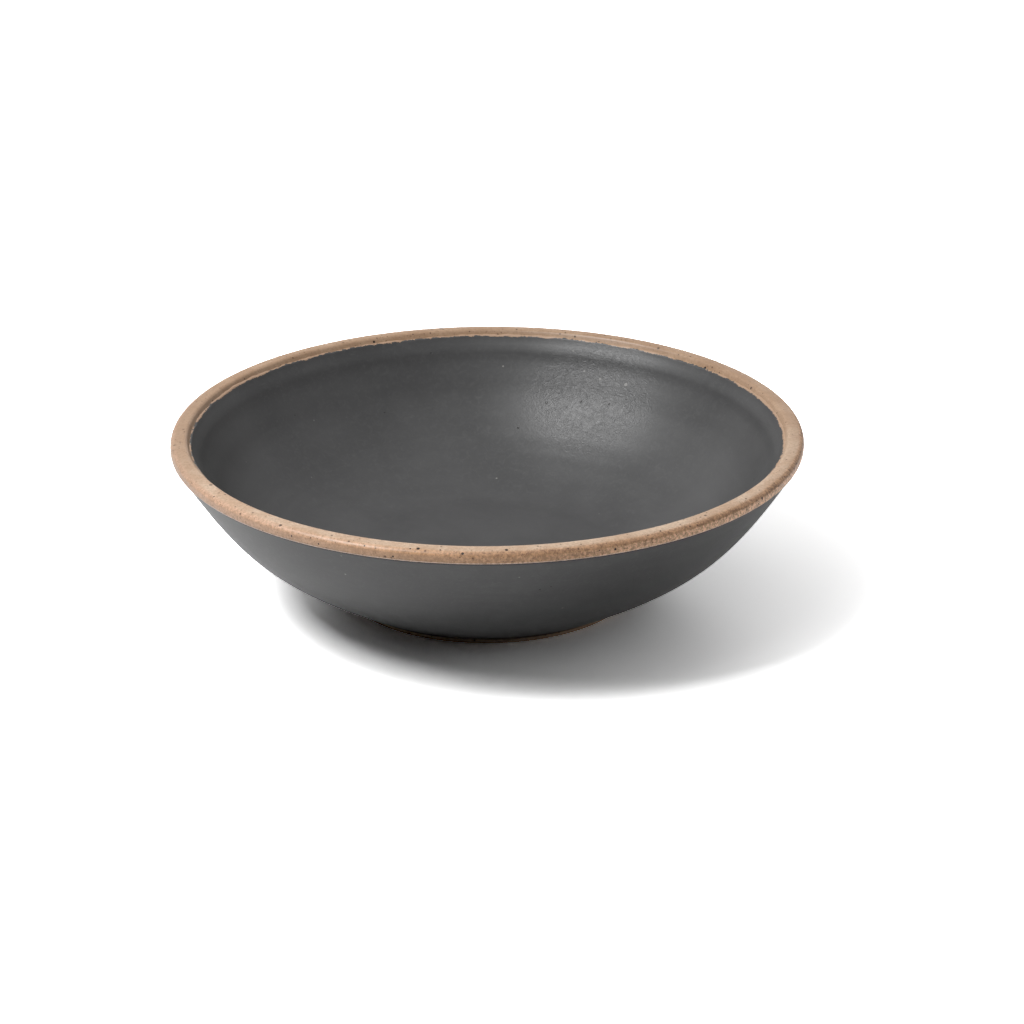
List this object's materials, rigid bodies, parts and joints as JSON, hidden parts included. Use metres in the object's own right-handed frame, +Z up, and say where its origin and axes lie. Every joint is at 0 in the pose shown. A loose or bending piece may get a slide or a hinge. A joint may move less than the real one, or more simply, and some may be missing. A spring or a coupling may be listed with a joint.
{
  "type": "stoneware bowl",
  "caption": "Wide, shallow thrown stoneware bowl with a bare rolled clay lip, dark satin glaze inside and out, and a bare turned foot ring.",
  "frame": {"origin": "centre of the foot ring's resting face, on the table", "axes": "+Z up along the bowl's axis; the bowl is round, so +X and +Y are free; the picture's camera is on the -Y side"},
  "size_m": [0.24, 0.24, 0.064],
  "materials": {
    "bare_clay": "bare fired stoneware, speckled, faint sheen",
    "charcoal_glaze": "satin charcoal stoneware glaze"
  },
  "bodies": {
    "root": {"clay_body": "bare_clay", "inner_glaze": "charcoal_glaze", "outer_glaze": "charcoal_glaze", "foot_well_glaze": "charcoal_glaze"}
  },
  "joints": []
}
